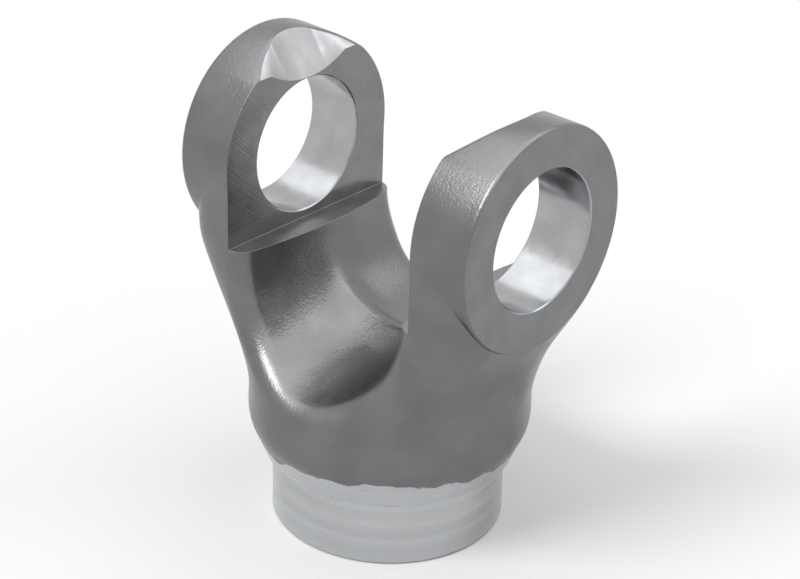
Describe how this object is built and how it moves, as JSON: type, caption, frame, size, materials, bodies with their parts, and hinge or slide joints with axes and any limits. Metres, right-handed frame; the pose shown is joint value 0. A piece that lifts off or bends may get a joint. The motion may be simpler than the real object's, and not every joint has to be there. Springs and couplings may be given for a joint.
{
  "type": "driveshaft tube yoke",
  "caption": "Forged and machined steel driveshaft yoke: two bored ears on a saddle-shaped body, with a round pilot below that is welded into a tube.",
  "frame": {"origin": "centre of the pilot's flat lower face, on the shaft axis", "axes": "+Z along the shaft axis from the pilot towards the ears, X along the cross bore, Y across the gap between the arms"},
  "size_m": [0.148, 0.116, 0.1934],
  "materials": {
    "forged_steel": "blasted forged skin, with the bores, the ear faces, the gap between the ears and the pilot machined"
  },
  "bodies": {
    "root": {"tube_yoke": "forged_steel"}
  },
  "joints": []
}
